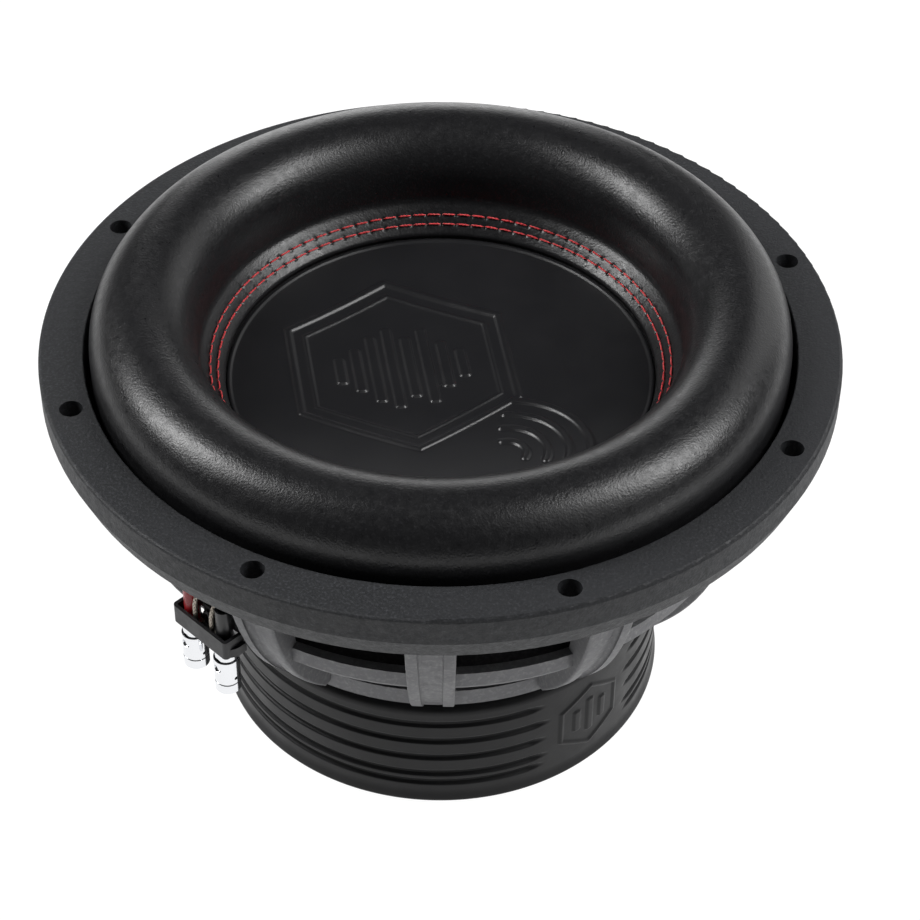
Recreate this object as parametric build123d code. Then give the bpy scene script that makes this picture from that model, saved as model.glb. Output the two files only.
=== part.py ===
from build123d import *
import os
from math import asin, cos, hypot, pi, radians, sin, tan

# Twelve-inch car subwoofer driver, built as an assembly of separate pieces.
# Millimetres. The origin is the centre of the flange's rear seating plane, +Z points out of the
# cone, and the drive unit stands on the rubber boot below. (r, z) pairs are radius and height.

# ---- flange, trim ring and fixing holes ------------------------------------------------------
FLANGE_R = 154.8            # outside radius of the cast flange
FLANGE_T = 8.0
FLANGE_BORE_R = 136.0
SPIGOT_H = 1.5              # low rim under the flange, around the spokes' heads
BOLT_PCD = 301.2            # fixing hole circle
BOLT_COUNT = 8
BOLT_ANGLE = 18.1           # first fixing hole, degrees from +X
BOLT_HOLE_R = 2.75          # clearance hole for a 5 mm screw
RING_TOP_R = 160.3          # outside radius of the trim ring at its face
RING_SIDE_H = 12.0          # straight part of the ring's side, below its face
RING_FOOT_R = 156.3         # the side then tapers to this radius at the seating plane
RING_BORE_R = 142.4
RING_H = 22.0               # face of the ring above the seating plane
RING_HOLE_R = 4.6           # screw head access hole
RING_EDGE_ROUND = 1.4
FIT_GAP = 0.2               # clearance of rubber and plastic pieces around metal ones

# ---- surround --------------------------------------------------------------------------------
ROLL_R = 118.8              # centre circle of the half roll
ROLL_RADIUS = 21.2          # outside radius of the roll's section
ROLL_LIFT = 2.7             # section centre above the ring's face
SURROUND_T = 1.6
LIP_R = 145.4               # outer lip, clamped between flange and trim ring
STRIP_SLOPE = 45.0          # sewn inner strip, degrees from flat
STRIP_INNER_R = 87.1
STRIP_HEEL_R = 95.4         # where the strip turns up into the roll
HEEL_ROUND = 5.0

# ---- stitching -------------------------------------------------------------------------------
STITCH_OUTER_R = 93.1
STITCH_INNER_R = 90.2
STITCH_INNER_Z = 7.2        # height of the strip's face at the inner row
THREAD_R = 0.4

# ---- cone, dust cap, voice coil --------------------------------------------------------------
CONE_T = 1.5
CONE_NECK_Z = -39.0
CAP_SEAT_Z = 2.2            # rim of the dished cap
CAP_SAG = 8.0
CAP_T = 1.8
CAP_GAP = 0.3               # cap rim to sewn strip
FORMER_BORE_R = 38.0
FORMER_T = 0.6
FORMER_TOP_Z = -36.5
WINDING_T = 1.6
WINDING_H = 36.0

# ---- basket ----------------------------------------------------------------------------------
SPOKE_COUNT = 12
SPOKE_ANGLE = -91.5         # one spoke's direction, degrees from +X
SPOKE_W = 20.2              # at the flange
SPOKE_FOOT_W = 17.0         # at the base, with rounded corners
SPOKE_FOOT_ROUND = 4.0
SPOKE_RIB_W = 4.6
SPOKE_RECESS = 2.4          # depth of the web below the two ribs
SPOKE_TOP_R = 141.0         # outside of a spoke under the flange
SPOKE_SWELL = 4.2           # a spoke stands this far out from the landing band
SPOKE_ROUND = 0.9
WEB_ROUND = 1.5
BAND_R = 125.0              # landing band for the spider
BAND_TOP_Z = -44.0
BAND_H = 6.8
BAND_UNDERCUT = 4.0         # the underside slopes in this far
LEDGE_DROP = 2.0            # spider ledge below the band's top
LEDGE_W = 17.0              # spider ledge, in from the band's face
LEDGE_T = 5.0
BAND_FOOT_Z = -56.0         # end of the sloped underside
BAND_LIP = 4.0
BASE_R = 99.0
BASE_Z = -90.0              # underside of the basket, on the top plate
BASE_T = 8.0
BASE_BORE_R = 54.0
SPOKE_INSET = 10.0          # radial depth of a spoke at the flange
SPOKE_KNEE = 12.0           # and under the landing band
SPOKE_HEEL = 7.0            # a spoke's inner side starts this far inside the base's rim
FOOT_ARCH_R = 4.5
FOOT_ARCH_H = 2.2

# ---- spider ----------------------------------------------------------------------------------
SPIDER_T = 0.8
SPIDER_RIM_CLEAR = 2.0      # last corrugation to the landing ledge
SPIDER_COLLAR_W = 6.0
SPIDER_WAVES = 6
SPIDER_WAVE_H = 2.6

# ---- motor -----------------------------------------------------------------------------------
PLATE_T = 10.0
PLATE_R = 87.0
GAP_CLEAR = 0.8             # coil to pole and coil to top plate
MAGNET_R = 90.0
MAGNET_BORE_R = 62.0
MAGNET_T = 20.0
BACK_T = 10.0
POLE_RISE = 2.0             # pole above the top plate
VENT_R = 13.0
SHORT_R = 58.0
SHORT_T = 4.0
MESH_T = 1.0
MESH_DEPTH = 2.0            # vent mesh set in from the back face

# ---- boot ------------------------------------------------------------------------------------
BOOT_R = 94.4
BOOT_FOOT_R = 95.6
BOOT_TOP_Z = -98.0
BOOT_FOOT_T = 4.0
BOOT_MOUTH_R = 66.0
BOOT_SHOULDER = 4.0
BOOT_ROUND = 3.0
BOOT_FLARE = 6.0            # height over which the side widens to the foot
GROOVE_DROPS = (9.5, 19.5, 29.5, 39.5, 45.0)     # below the boot's top
GROOVE_ARCS = (13.7, 12.0, 13.0, 12.5, 13.5)     # half angle of the smooth panel at each groove
GROOVE_W = 2.2
GROOVE_D = 1.5
GROOVE_DRAFT = 0.5
PANEL_ANGLE = -48.5         # smooth panels, this one and one opposite

# ---- screws from basket into top plate ---------------------------------------------------------
PLATE_SCREW_COUNT = 6
PLATE_SCREW_PCD = 150.0
PLATE_SCREW_R = 2.5
PLATE_SCREW_HEAD_R = 4.25
PLATE_SCREW_HEAD_H = 5.0
PLATE_SCREW_LEN = 14.0
HEX_R = 2.3

# ---- terminals -------------------------------------------------------------------------------
TERMINAL_ANGLE = SPOKE_ANGLE - 43.8     # near the middle of the bay between two spokes
TRAY_W = 31.6               # tangential, at the tray's rim
BLOCK_W = 34.4              # the thicker plate under the tray
BLOCK_OUT = 8.6             # radial reach beyond the band
BLOCK_H = 9.0
BLOCK_BOTTOM_Z = -58.0
BLOCK_PLATE_T = 4.4
BLOCK_FLOOR_T = 3.2
BLOCK_WALL = 1.5
BLOCK_CORNER = 6.5
TRAY_CORNER = 1.8
POST_PITCH = 19.2
POST_IN = 5.3               # post axis inside the block's outer face
POST_R = 4.6
POST_LEN = 12.0
STUD_R = 1.6
STUD_LEN = 7.5              # stud through the block floor
WIRE_HOLE_R = 1.9
WIRE_HOLE_DROP = 5.8        # hole below the block; half of it shows above the sleeve at rest
SLEEVE_WALL = 0.55
SLEEVE_GAP = 0.08           # sliding fit on the post
SLEEVE_DROP = 5.4           # sleeve top below the block
SLEEVE_LEN = 17.0
SLEEVE_TRAVEL = 3.6
SLEEVE_FLOOR_T = 1.5
SLEEVE_SKIRT = 2.0          # skirt below the sleeve's floor
SLEEVE_GROOVE_RISE = 4.4
SLEEVE_GROOVE_W = 0.7
SLEEVE_GROOVE_D = 0.3
PEEP_HOLE_R = 0.8           # small hole a quarter turn from the wire hole
PEEP_HOLE_RISE = 7.8
SPRING_R = 2.7
SPRING_WIRE_R = 0.35
SPRING_TURNS = 3
RIVET_R = 1.3
RIVET_HEAD_R = 2.6
RIVET_HEAD_H = 1.0
RIVET_GRIP = 3.5            # length held in the post
CAP_RING_R = 3.3            # coloured polarity tube around a stud
CAP_RING_BORE_R = 2.3
CAP_RING_H = 17.0
TAG_T = 0.8
TAG_W = 5.0
BLOCK_SCREW_R = 1.5
BLOCK_SCREW_HEAD_R = 2.6
BLOCK_SCREW_HEAD_H = 1.8
BLOCK_SCREW_LEN = 7.0
SCREW_SLOT_W = 0.8
LUG_W = 7.0                 # screw lug in the middle of the tray, against the band
LUG_T = 2.4
LEAD_SIDE = 4.7             # lead's foot from the stud, towards the block's middle
LEAD_OUT = 2.4              # and outward
LEAD_END_R = 51.6           # where the lead meets the cone's underside
LEAD_R = 1.1

# ---- worked out from the driving sizes -------------------------------------------------------
ROLL_Z = RING_H + ROLL_LIFT
BOLT_R = BOLT_PCD / 2
FORMER_R = FORMER_BORE_R + FORMER_T
WINDING_R = FORMER_R + WINDING_T
POLE_R = FORMER_BORE_R - GAP_CLEAR
GAP_BORE_R = WINDING_R + GAP_CLEAR
PLATE_TOP_Z = BASE_Z
PLATE_Z = PLATE_TOP_Z - PLATE_T
BACK_TOP_Z = PLATE_Z - 2 * MAGNET_T
BACK_Z = BACK_TOP_Z - BACK_T
BOOT_Z = BACK_Z - BOOT_FOOT_T
BOOT_BORE_R = MAGNET_R + FIT_GAP
GAP_Z = PLATE_TOP_Z - PLATE_T / 2
FORMER_FOOT_Z = GAP_Z - WINDING_H / 2 - 2.0
LEDGE_Z = BAND_TOP_Z - LEDGE_DROP
SPIDER_R = BAND_R - BAND_LIP - 0.5
LEDGE_BORE_R = BAND_R - LEDGE_W
SPIDER_FLAT_R = LEDGE_BORE_R - SPIDER_RIM_CLEAR
CAP_R = STRIP_INNER_R - CAP_GAP
BLOCK_TOP_Z = BLOCK_BOTTOM_Z + BLOCK_H
POST_X = BAND_R + BLOCK_OUT - POST_IN
SLEEVE_R = POST_R + SLEEVE_GAP + SLEEVE_WALL
SLEEVE_TOP_Z = BLOCK_BOTTOM_Z - SLEEVE_DROP
SLEEVE_FOOT_Z = SLEEVE_TOP_Z - SLEEVE_LEN
SLEEVE_FLOOR_Z = SLEEVE_FOOT_Z + SLEEVE_SKIRT
POST_FOOT_Z = BLOCK_BOTTOM_Z - POST_LEN
TRAY_FLOOR_Z = BLOCK_BOTTOM_Z + BLOCK_FLOOR_T
LUG_X = BAND_R + LUG_T
CAP_LAND_R = CAP_R - 2.0    # flat on the cone under the cap's rim
CONE_SEAT_Z = CAP_SEAT_Z - CAP_T - FIT_GAP
CONE_SLOPE = (CONE_SEAT_Z - CONE_NECK_Z) / (CAP_LAND_R - FORMER_R)
CONE_DROP = CONE_T * hypot(1, CONE_SLOPE)


def strip_face(r):
    """Height of the sewn strip's upper face at radius r."""
    return STITCH_INNER_Z + (r - STITCH_INNER_R) * tan(radians(STRIP_SLOPE))


def section(*points):
    return Polygon(*points, align=None)


def rounded(face, corner, radius):
    """The face with the vertex nearest to corner rounded."""
    nearest = face.vertices().sort_by_distance(Vector(*corner, 0))[0]
    return fillet(nearest, radius)


def turned(face, angle=360.0):
    """Solid of revolution about Z from an (r, z) face."""
    return revolve(Plane.XZ * face, Axis.Z, angle)


def ring(outer, inner, low, high):
    return Pos(0, 0, low) * extrude(Circle(outer) - Circle(inner), high - low)


def drum(radius, low, high):
    return Pos(0, 0, low) * extrude(Circle(radius), high - low)


def around(count, start, shape):
    return [Rot(0, 0, start + 360 * k / count) * shape for k in range(count)]


def at_terminal(shape, side=0.0):
    """Local +X is radially outward at the terminal block; side shifts along the tangent."""
    return Rot(0, 0, TERMINAL_ANGLE) * Pos(0, side * POST_PITCH / 2, 0) * shape


# ---- cone side -------------------------------------------------------------------------------
def make_trim_ring():
    lip_z = FLANGE_T + SURROUND_T
    skirt_r = FLANGE_R + FIT_GAP
    outline = section(
        (RING_BORE_R, lip_z), (RING_BORE_R, RING_H), (RING_TOP_R, RING_H),
        (RING_TOP_R, RING_H - RING_SIDE_H), (RING_FOOT_R, FIT_GAP), (skirt_r, FIT_GAP),
        (skirt_r, FLANGE_T), (LIP_R + FIT_GAP, FLANGE_T), (LIP_R + FIT_GAP, lip_z),
    )
    outline = rounded(outline, (RING_TOP_R, RING_H), RING_EDGE_ROUND)
    outline = rounded(outline, (RING_BORE_R, RING_H), RING_EDGE_ROUND / 2)
    hole = Pos(BOLT_R, 0, 0) * drum(RING_HOLE_R, -1, RING_H + 1)
    return turned(outline) - around(BOLT_COUNT, BOLT_ANGLE, hole)


def make_surround():
    outer, inner = ROLL_RADIUS, ROLL_RADIUS - SURROUND_T
    drop = SURROUND_T / cos(radians(STRIP_SLOPE))
    lip_z = FLANGE_T + SURROUND_T
    left, right = ROLL_R - outer, ROLL_R + outer
    left_in, right_in = left + SURROUND_T, right - SURROUND_T
    edge = (STRIP_INNER_R, strip_face(STRIP_INNER_R))
    edge_under = (STRIP_INNER_R, strip_face(STRIP_INNER_R) - drop)
    heel = (left, strip_face(left))
    heel_under = (left_in, strip_face(left_in) - drop)
    wire = [
        Line(edge, heel),
        Line(heel, (left, ROLL_Z)),
        ThreePointArc((left, ROLL_Z), (ROLL_R, ROLL_Z + outer), (right, ROLL_Z)),
        Line((right, ROLL_Z), (right, lip_z)),
        Line((right, lip_z), (LIP_R, lip_z)),
        Line((LIP_R, lip_z), (LIP_R, FLANGE_T)),
        Line((LIP_R, FLANGE_T), (right_in, FLANGE_T)),
        Line((right_in, FLANGE_T), (right_in, ROLL_Z)),
        ThreePointArc((right_in, ROLL_Z), (ROLL_R, ROLL_Z + inner), (left_in, ROLL_Z)),
        Line((left_in, ROLL_Z), heel_under),
        Line(heel_under, edge_under),
        Line(edge_under, edge),
    ]
    outline = make_face(Curve() + wire)
    return turned(rounded(outline, heel, HEEL_ROUND))


def strip_under(r):
    """Height of the sewn strip's lower face, which lies on the cone's rim."""
    return strip_face(r) - SURROUND_T / cos(radians(STRIP_SLOPE))


def cone_under(r):
    """Height of the cone's underside at radius r."""
    return CONE_NECK_Z - CONE_DROP + (r - FORMER_R) * CONE_SLOPE


def make_cone():
    """Pressed cone with a sloped rim under the sewn strip."""
    rim_out = STRIP_HEEL_R + 1.0
    rim_t = CONE_T / cos(radians(STRIP_SLOPE))
    shoulder_r = STRIP_INNER_R + CONE_T
    outline = section(
        (FORMER_R, CONE_NECK_Z), (CAP_LAND_R, CONE_SEAT_Z), (STRIP_INNER_R, CONE_SEAT_Z),
        (STRIP_INNER_R, strip_under(STRIP_INNER_R)), (rim_out, strip_under(rim_out)),
        (rim_out, strip_under(rim_out) - rim_t), (shoulder_r, strip_under(shoulder_r) - rim_t),
        (shoulder_r, CONE_SEAT_Z - CONE_T), (CAP_LAND_R + CONE_T, CONE_SEAT_Z - CONE_DROP),
        (FORMER_R, CONE_NECK_Z - CONE_DROP),
    )
    return turned(outline)


def make_dust_cap():
    """Shallow dished cap: two concentric spherical faces and a flat rim on the cone."""
    curve_r = (CAP_R ** 2 + CAP_SAG ** 2) / (2 * CAP_SAG)
    under_r = curve_r + CAP_T
    centre_z = CAP_SEAT_Z - CAP_SAG + curve_r
    rim_r = CAP_R - 1.5
    rim_z = CAP_SEAT_Z - CAP_T
    meet_r = (under_r ** 2 - (centre_z - rim_z) ** 2) ** 0.5
    half = asin(CAP_R / curve_r) / 2
    under_half = asin(min(meet_r, rim_r) / under_r) / 2
    edge = min(meet_r, rim_r)
    edge_z = centre_z - (under_r ** 2 - edge ** 2) ** 0.5
    top_mid = (curve_r * sin(half), centre_z - curve_r * cos(half))
    under_mid = (under_r * sin(under_half), centre_z - under_r * cos(under_half))
    bottom = (0, centre_z - curve_r)
    under = (0, centre_z - under_r)
    wire = [
        ThreePointArc(bottom, top_mid, (CAP_R, CAP_SEAT_Z)),
        Line((CAP_R, CAP_SEAT_Z), (CAP_R, rim_z)),
        Line((CAP_R, rim_z), (edge, edge_z)),
        ThreePointArc((edge, edge_z), under_mid, under),
        Line(under, bottom),
    ]
    return turned(make_face(Curve() + wire))


def make_thread(radius):
    """One sewn row as a plain ring of thread lying on the strip."""
    slope = radians(STRIP_SLOPE)
    lift = THREAD_R + 0.05
    centre = (radius - lift * sin(slope), strip_face(radius) + lift * cos(slope))
    return turned(Pos(*centre) * Circle(THREAD_R))


def make_former():
    return ring(FORMER_R, FORMER_BORE_R, FORMER_FOOT_Z, FORMER_TOP_Z)


def make_winding():
    return ring(WINDING_R, FORMER_R, GAP_Z - WINDING_H / 2, GAP_Z + WINDING_H / 2)


def make_spider():
    """Corrugated cloth disc between coil former and landing ledge."""
    inner, outer = FORMER_R + SPIDER_COLLAR_W, SPIDER_FLAT_R
    mid = LEDGE_Z + SPIDER_T / 2
    steps = 4 * SPIDER_WAVES
    wave = [
        (inner + (outer - inner) * k / steps, mid + SPIDER_WAVE_H * sin(2 * pi * SPIDER_WAVES * k / steps))
        for k in range(steps + 1)
    ]
    half = SPIDER_T / 2
    top = [(r, z + half) for r, z in wave]
    low = [(r, z - half) for r, z in reversed(wave)]
    wire = [
        Line((FORMER_R, mid + half), top[0]), Spline(*top), Line(top[-1], (SPIDER_R, mid + half)),
        Line((SPIDER_R, mid + half), (SPIDER_R, mid - half)), Line((SPIDER_R, mid - half), low[0]),
        Spline(*low), Line(low[-1], (FORMER_R, mid - half)),
        Line((FORMER_R, mid - half), (FORMER_R, mid + half)),
    ]
    return turned(make_face(Curve() + wire))


# ---- basket ----------------------------------------------------------------------------------
def spoke_curve(inset=0.0):
    """Outer profile of a spoke, swept in from the flange to the base, moved inward by inset."""
    swell_r, swell_z = BAND_R + SPOKE_SWELL, BAND_TOP_Z - 4.0
    foot_r, foot_z = BASE_R + 1.5, BASE_Z + 1.0
    points = [(SPOKE_TOP_R, 0), (SPOKE_TOP_R + 0.3 * (swell_r - SPOKE_TOP_R), BAND_TOP_Z / 2)]
    for part_r, part_z in ((0, 0), (0.355, 0.463), (0.617, 0.707), (1, 1)):
        points.append((swell_r + part_r * (foot_r - swell_r), swell_z + part_z * (foot_z - swell_z)))
    return [(r - inset, z) for r, z in points]


def spoke_front(inset=0.0):
    """Front view of a spoke as a slab along X: narrower at the foot, inset on both sides."""
    top, foot = SPOKE_W / 2 - inset, SPOKE_FOOT_W / 2 - inset
    return section((-top, 0), (-foot, BASE_Z), (foot, BASE_Z), (top, 0))


def make_spoke():
    """One U-section spoke, built along +X: two ribs with a sunken web between them."""
    outer = spoke_curve()
    ledge_r = BAND_R - BAND_LIP + 0.5
    band_foot = BAND_TOP_Z - BAND_H
    inner = [
        (outer[-1][0] - 1.0, BASE_Z), (BASE_R - SPOKE_HEEL, BASE_Z), (BASE_R - SPOKE_HEEL, BASE_Z + BASE_T),
        (BAND_R - SPOKE_KNEE, BAND_FOOT_Z), (ledge_r, band_foot), (ledge_r, BAND_TOP_Z),
        (SPOKE_TOP_R - SPOKE_INSET, 0), outer[0],
    ]
    wire = [Spline(*outer)] + [Line(a, b) for a, b in zip([outer[-1]] + inner, inner)]
    blade = extrude(Plane.XZ * make_face(Curve() + wire), SPOKE_W, both=True)
    slab = spoke_front()
    blade = blade & extrude(Plane.YZ * slab, 2 * SPOKE_TOP_R)
    crest = [e for e in blade.edges() if e.length > SPOKE_TOP_R / 3 and on_curve(e, SPOKE_TOP_R)]
    blade = fillet(crest, SPOKE_ROUND)
    for corner in ((-SPOKE_FOOT_W / 2, BASE_Z), (SPOKE_FOOT_W / 2, BASE_Z)):
        slab = rounded(slab, corner, SPOKE_FOOT_ROUND)
    blade = blade & extrude(Plane.YZ * slab, 2 * SPOKE_TOP_R)
    sunk = spoke_curve(SPOKE_RECESS)
    far = SPOKE_TOP_R + SPOKE_W
    low = BASE_Z - BASE_T
    wire = [
        Spline(*sunk), Line(sunk[-1], (sunk[-1][0], low)), Line((sunk[-1][0], low), (far, low)),
        Line((far, low), (far, 0)), Line((far, 0), sunk[0]),
    ]
    channel = extrude(Plane.XZ * make_face(Curve() + wire), SPOKE_W, both=True)
    channel = channel & extrude(Plane.YZ * spoke_front(SPOKE_RIB_W), 2 * SPOKE_TOP_R)
    floor_edges = [e for e in channel.edges() if e.length > SPOKE_TOP_R / 2 and on_curve(e, sunk[0][0])]
    channel = fillet(floor_edges, WEB_ROUND)
    arch = Pos(BASE_R + FOOT_ARCH_R + FIT_GAP, 0, BASE_Z - FOOT_ARCH_R + FOOT_ARCH_H)
    arch = arch * Rot(0, 90, 0) * Cylinder(FOOT_ARCH_R, 2 * FOOT_ARCH_R)
    return blade - channel - arch


def on_curve(edge, radius):
    """True for an edge that starts at this radius under the flange."""
    start = max(edge.vertices(), key=lambda v: v.Z)
    return abs(start.X - radius) < 0.01


def make_basket():
    band_foot = BAND_TOP_Z - BAND_H
    band = section(
        (BAND_R, BAND_TOP_Z), (BAND_R, band_foot), (BAND_R - BAND_UNDERCUT, BAND_FOOT_Z),
        (BAND_R - SPOKE_KNEE, BAND_FOOT_Z), (LEDGE_BORE_R, LEDGE_Z - LEDGE_T), (LEDGE_BORE_R, LEDGE_Z),
        (BAND_R - BAND_LIP, LEDGE_Z), (BAND_R - BAND_LIP, BAND_TOP_Z),
    )
    flange = ring(FLANGE_R, FLANGE_BORE_R, 0, FLANGE_T)
    inner_rim = ring(hypot(SPOKE_TOP_R, SPOKE_W / 2) + FIT_GAP, FLANGE_BORE_R, -SPIGOT_H, 0)
    body = turned(band) + ring(BASE_R, BASE_BORE_R, BASE_Z, BASE_Z + BASE_T) + flange + inner_rim
    body = body + around(SPOKE_COUNT, SPOKE_ANGLE, make_spoke())
    body = body - around(BOLT_COUNT, BOLT_ANGLE, Pos(BOLT_R, 0, 0) * drum(BOLT_HOLE_R, -10, FLANGE_T + 1))
    plate_screw = drum(PLATE_SCREW_R + FIT_GAP, BASE_Z - 1, BASE_Z + BASE_T + 1)
    plate_screw = Pos(PLATE_SCREW_PCD / 2, 0, 0) * plate_screw
    body = body - around(PLATE_SCREW_COUNT, 0, plate_screw)
    return body - block_screw_place() * Rot(0, 90, 0) * Cylinder(BLOCK_SCREW_R, 2 * BLOCK_SCREW_LEN)


# ---- motor -----------------------------------------------------------------------------------
def make_top_plate():
    tapped = Pos(PLATE_SCREW_PCD / 2, 0, 0) * drum(PLATE_SCREW_R, screw_foot_z(), PLATE_TOP_Z + 1)
    return ring(PLATE_R, GAP_BORE_R, PLATE_Z, PLATE_TOP_Z) - around(PLATE_SCREW_COUNT, 0, tapped)


def make_magnet(index):
    top = PLATE_Z - index * MAGNET_T
    foot, edge = top - MAGNET_T, 1.0
    return turned(section(
        (MAGNET_BORE_R, foot), (MAGNET_BORE_R, top), (MAGNET_R - edge, top), (MAGNET_R, top - edge),
        (MAGNET_R, foot + edge), (MAGNET_R - edge, foot),
    ))


def make_yoke():
    """Back plate and vented pole in one forging."""
    outline = section(
        (VENT_R, BACK_Z), (PLATE_R, BACK_Z), (PLATE_R, BACK_TOP_Z), (POLE_R, BACK_TOP_Z),
        (POLE_R, PLATE_TOP_Z + POLE_RISE), (VENT_R, PLATE_TOP_Z + POLE_RISE),
    )
    outline = rounded(outline, (POLE_R, PLATE_TOP_Z + POLE_RISE), 1.5)
    seat = drum(VENT_R + 2, BACK_Z - 1, BACK_Z + MESH_DEPTH + MESH_T)
    return turned(outline) - seat


def make_shorting_ring():
    return ring(SHORT_R, POLE_R, BACK_TOP_Z, BACK_TOP_Z + SHORT_T)


def make_vent_mesh():
    """Perforated disc in the back of the pole vent, holes on a square grid."""
    radius = VENT_R + 2
    disc = drum(radius, BACK_Z + MESH_DEPTH, BACK_Z + MESH_DEPTH + MESH_T)
    hole_r, pitch = 1.1, 3.4
    reach = int(radius / pitch)
    places = [
        (pitch * i, pitch * j) for i in range(-reach, reach + 1) for j in range(-reach, reach + 1)
        if hypot(pitch * i, pitch * j) < VENT_R - hole_r - 0.5
    ]
    holes = [Pos(x, y, 0) * drum(hole_r, BACK_Z, BACK_Z + BACK_T) for x, y in places]
    return disc - holes


def screw_foot_z():
    return BASE_Z + BASE_T - PLATE_SCREW_LEN


def make_plate_screw():
    """Socket-head screw through the basket base into the top plate."""
    seat = BASE_Z + BASE_T
    head = drum(PLATE_SCREW_HEAD_R, seat, seat + PLATE_SCREW_HEAD_H)
    head = fillet(head.edges().sort_by(Axis.Z)[-1], 0.5)
    socket = Pos(0, 0, seat + PLATE_SCREW_HEAD_H / 2) * extrude(RegularPolygon(HEX_R, 6), PLATE_SCREW_HEAD_H)
    screw = head + drum(PLATE_SCREW_R, screw_foot_z(), seat) - socket
    return Pos(PLATE_SCREW_PCD / 2, 0, 0) * screw


def make_boot():
    """Ribbed rubber boot over the magnets, open in the middle of its foot."""
    shoulder_r = PLATE_R + FIT_GAP
    lap_z = BACK_TOP_Z - 0.5
    outline = section(
        (shoulder_r, BOOT_TOP_Z), (BOOT_R - BOOT_SHOULDER, BOOT_TOP_Z), (BOOT_R, BOOT_TOP_Z - BOOT_SHOULDER),
        (BOOT_R, BOOT_Z + BOOT_FLARE), (BOOT_FOOT_R, BOOT_Z + 1), (BOOT_FOOT_R, BOOT_Z), (BOOT_MOUTH_R, BOOT_Z),
        (BOOT_MOUTH_R, BACK_Z), (shoulder_r, BACK_Z), (shoulder_r, lap_z), (BOOT_BORE_R, lap_z),
        (BOOT_BORE_R, PLATE_Z + FIT_GAP), (shoulder_r, PLATE_Z + FIT_GAP),
    )
    outline = rounded(outline, (BOOT_R - BOOT_SHOULDER, BOOT_TOP_Z), BOOT_ROUND / 2)
    outline = rounded(outline, (BOOT_R, BOOT_TOP_Z - BOOT_SHOULDER), BOOT_ROUND)
    boot = turned(outline)
    floor_half, mouth_half = GROOVE_W / 2 - GROOVE_DRAFT, GROOVE_W / 2 + GROOVE_DRAFT
    floor_r, mouth_r = BOOT_R - GROOVE_D, BOOT_R + GROOVE_D
    for drop, half in zip(GROOVE_DROPS, GROOVE_ARCS):
        mid = BOOT_TOP_Z - drop
        groove = section(
            (floor_r, mid - floor_half), (floor_r, mid + floor_half),
            (mouth_r, mid + mouth_half), (mouth_r, mid - mouth_half),
        )
        cut = turned(groove, 180 - 2 * half)
        boot = boot - [Rot(0, 0, PANEL_ANGLE + turn + half) * cut for turn in (0, 180)]
    return boot


# ---- terminals -------------------------------------------------------------------------------
def block_screw_place():
    """On the face of the block's lug against the landing band, +X outward."""
    return Rot(0, 0, TERMINAL_ANGLE) * Pos(LUG_X, 0, BAND_TOP_Z - 0.6 * BAND_H)


def block_plan(width, corner):
    """Plan of the block: flat front with rounded corners, reaching in past the landing band."""
    front, back = BAND_R + BLOCK_OUT, BAND_R - BAND_LIP
    face = section((back, -width / 2), (front, -width / 2), (front, width / 2), (back, width / 2))
    for side in (-1, 1):
        face = rounded(face, (front, side * width / 2), corner)
    return face


def make_terminal_block():
    """Open tray on a wider plate, with a screw lug in the middle and a curved back on the band."""
    body = Pos(0, 0, BLOCK_BOTTOM_Z) * extrude(block_plan(BLOCK_W, BLOCK_CORNER), BLOCK_PLATE_T)
    body = body + Pos(0, 0, BLOCK_BOTTOM_Z) * extrude(block_plan(TRAY_W, TRAY_CORNER), BLOCK_H)
    well = Pos(-BLOCK_WALL, 0) * block_plan(TRAY_W - 2 * BLOCK_WALL, TRAY_CORNER - 1)
    body = body - Pos(0, 0, TRAY_FLOOR_Z) * extrude(well, BLOCK_H)
    lug_h = BAND_TOP_Z - BLOCK_BOTTOM_Z
    body = body + Pos(BAND_R, 0, BLOCK_BOTTOM_Z + lug_h / 2) * Box(2 * LUG_T, LUG_W, lug_h)
    body = body - drum(BAND_R, BLOCK_BOTTOM_Z - 1, BAND_TOP_Z + 1)
    stud = Pos(POST_X, 0, 0) * drum(STUD_R, BLOCK_BOTTOM_Z - 1, BLOCK_TOP_Z)
    body = body - [Pos(0, side * POST_PITCH / 2, 0) * stud for side in (-1, 1)]
    body = Rot(0, 0, TERMINAL_ANGLE) * body
    return body - block_screw_place() * Rot(0, 90, 0) * Cylinder(BLOCK_SCREW_R + FIT_GAP, 4 * LUG_T)


def make_block_screw():
    """Pan-head screw along +X with its seat at the origin."""
    at_foot = (Align.CENTER, Align.CENTER, Align.MIN)
    shank = Pos(0, 0, -BLOCK_SCREW_LEN) * Cylinder(BLOCK_SCREW_R, BLOCK_SCREW_LEN, align=at_foot)
    head = Cylinder(BLOCK_SCREW_HEAD_R, BLOCK_SCREW_HEAD_H, align=at_foot)
    head = fillet(head.edges().sort_by(Axis.Z)[-1], 0.4 * BLOCK_SCREW_HEAD_H)
    slot_len, slot_d = 1.4 * BLOCK_SCREW_HEAD_R, 0.9 * BLOCK_SCREW_HEAD_H
    cross = Box(slot_len, SCREW_SLOT_W, slot_d) + Box(SCREW_SLOT_W, slot_len, slot_d)
    return Rot(0, 90, 0) * (head + shank - Pos(0, 0, BLOCK_SCREW_HEAD_H) * cross)


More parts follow.
